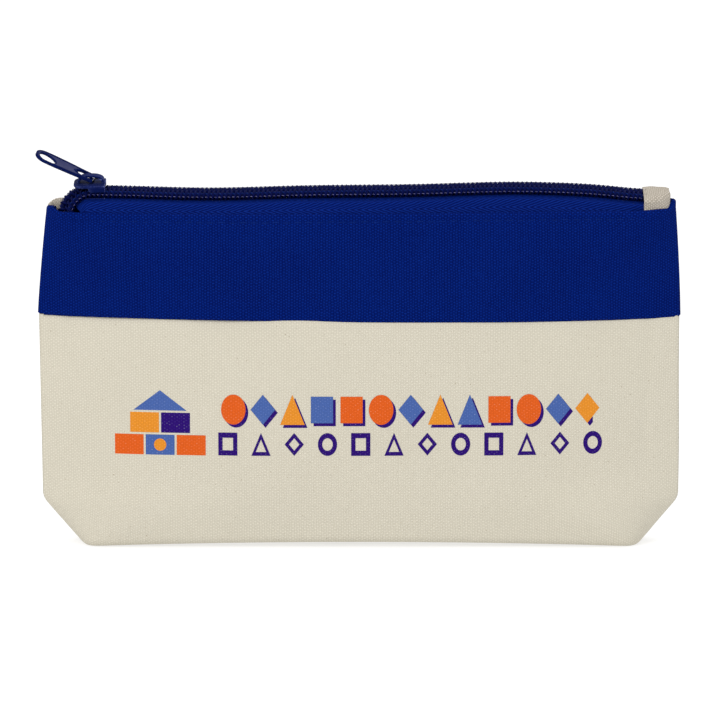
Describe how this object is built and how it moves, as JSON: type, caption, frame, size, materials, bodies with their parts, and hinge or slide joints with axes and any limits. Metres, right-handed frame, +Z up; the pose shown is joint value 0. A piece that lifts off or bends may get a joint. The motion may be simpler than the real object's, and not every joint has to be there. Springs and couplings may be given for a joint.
{
  "type": "pencil case",
  "caption": "Flat canvas pencil case with boxed bottom corners and a coil zip along its top; the slider runs along the zip and its pull tab swings.",
  "frame": {"origin": "middle of the base, on the surface the case stands on", "axes": "+X along the zip from its closed end to its open end, +Y to the back, +Z up"},
  "size_m": [0.2157, 0.0322, 0.1345],
  "materials": {
    "natural_canvas": "unbleached cotton canvas, plain weave, dry and matte",
    "blue_canvas": "royal blue dyed cotton canvas, plain weave, matte",
    "zip_tape": "blue woven polyester tape in a herringbone, slight sheen",
    "nylon_coil": "navy nylon monofilament, smooth",
    "filler_cord": "twisted polyester cord",
    "blue_thread": "blue polyester sewing thread, satin",
    "natural_thread": "natural polyester overlock thread",
    "slider_paint": "navy enamel on a zinc casting, glossy with a worn rim",
    "spring_steel": "spring steel, brushed"
  },
  "bodies": {
    "pouch": {"front_lower_panel": "natural_canvas", "back_lower_panel": "natural_canvas", "front_band": "blue_canvas", "back_band": "blue_canvas", "topstitch_front": "blue_thread", "topstitch_back": "blue_thread", "band_seam_overlock_front": "natural_thread", "band_seam_overlock_back": "natural_thread", "side_seam_overlock_left": "natural_thread", "side_seam_overlock_right": "natural_thread", "bottom_seam_overlock": "natural_thread", "corner_seam_overlock_left": "natural_thread", "corner_seam_overlock_right": "natural_thread", "zip_tape_front": "zip_tape", "zip_tape_back": "zip_tape", "zip_coil_front": "nylon_coil", "zip_coil_back": "nylon_coil", "coil_cord_front": "filler_cord", "coil_cord_back": "filler_cord", "coil_stitching_front": "blue_thread", "coil_stitching_back": "blue_thread", "zip_tab_right": "natural_canvas", "zip_tab_left": "natural_canvas"},
    "slider": {"slider_body": "slider_paint", "slider_bridge": "slider_paint", "slider_lock_spring": "spring_steel"},
    "puller": {"pull_tab": "slider_paint"}
  },
  "joints": [
    {"name": "slider_run", "type": "slide", "parent": "pouch", "child": "slider", "axis": [1, 0, 0], "range_m": [0, 0.174]},
    {"name": "pull_swing", "type": "hinge", "parent": "slider", "child": "puller", "pos_m": [-0.0888, -0.00188, 0.12277], "axis": [0, 0.9397, 0.342], "range_deg": [-36, 138]}
  ]
}
